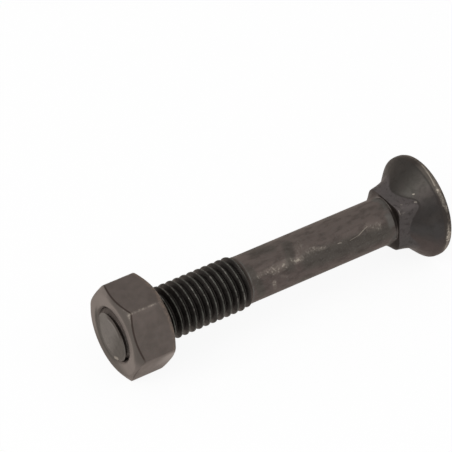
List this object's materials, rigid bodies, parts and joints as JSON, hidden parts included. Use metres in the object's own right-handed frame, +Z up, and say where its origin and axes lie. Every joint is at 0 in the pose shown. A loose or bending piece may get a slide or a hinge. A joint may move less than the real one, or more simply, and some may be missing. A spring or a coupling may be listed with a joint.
{
  "type": "plow bolt",
  "caption": "Countersunk plow bolt with a square neck that keeps it from turning, a plain shank and a threaded end carrying a chamfered hex nut, in a dark oxide finish.",
  "frame": {"origin": "on the floor under the middle of the bolt's length, as it lies on a flat of the nut and the rim of the head", "axes": "+X along the bolt from its threaded tip towards its head, +Z up; the bolt's axis rises 1.636 degrees towards the head, because the head is wider than the nut"},
  "size_m": [0.0804, 0.0234, 0.0234],
  "materials": {
    "bolt_steel": "dark oxide, mottled brown and grey, worn bright along the rim",
    "nut_steel": "dark oxide, smooth and matte, with bright nicks on its edges"
  },
  "bodies": {
    "bolt": {"plow_bolt": "bolt_steel"},
    "nut": {"hex_nut": "nut_steel"}
  },
  "joints": [
    {"name": "nut_travel", "type": "slide", "parent": "bolt", "child": "nut", "axis": [0.9996, 0, 0.0285], "range_m": [-0.00875, 0.01925]}
  ]
}
